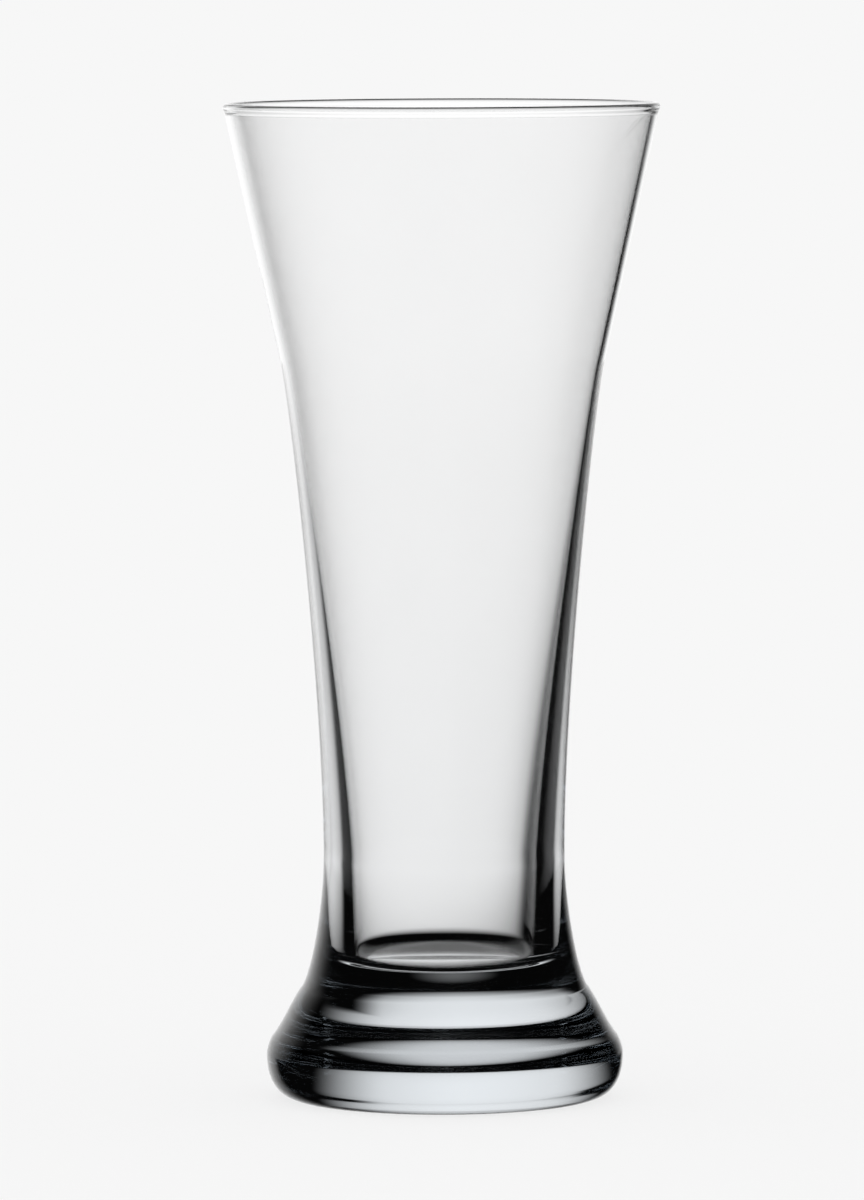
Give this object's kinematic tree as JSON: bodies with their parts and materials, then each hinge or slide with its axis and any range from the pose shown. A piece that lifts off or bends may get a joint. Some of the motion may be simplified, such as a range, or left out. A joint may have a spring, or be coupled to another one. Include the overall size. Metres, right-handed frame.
{
  "type": "pilsner glass",
  "caption": "Tall tapered beer glass with a narrow waist and a thick flared foot, for serving cold lager.",
  "frame": {"origin": "centre of the foot, on the plane that the glass stands on", "axes": "+Z along the glass's axis, out of the mouth; +X and +Y are any two directions square to it, because the glass is round"},
  "size_m": [0.078, 0.078, 0.178],
  "materials": {
    "clear_glass": "clear, fire-polished, smooth and glossy"
  },
  "bodies": {
    "root": {"glass": "clear_glass"}
  },
  "joints": []
}
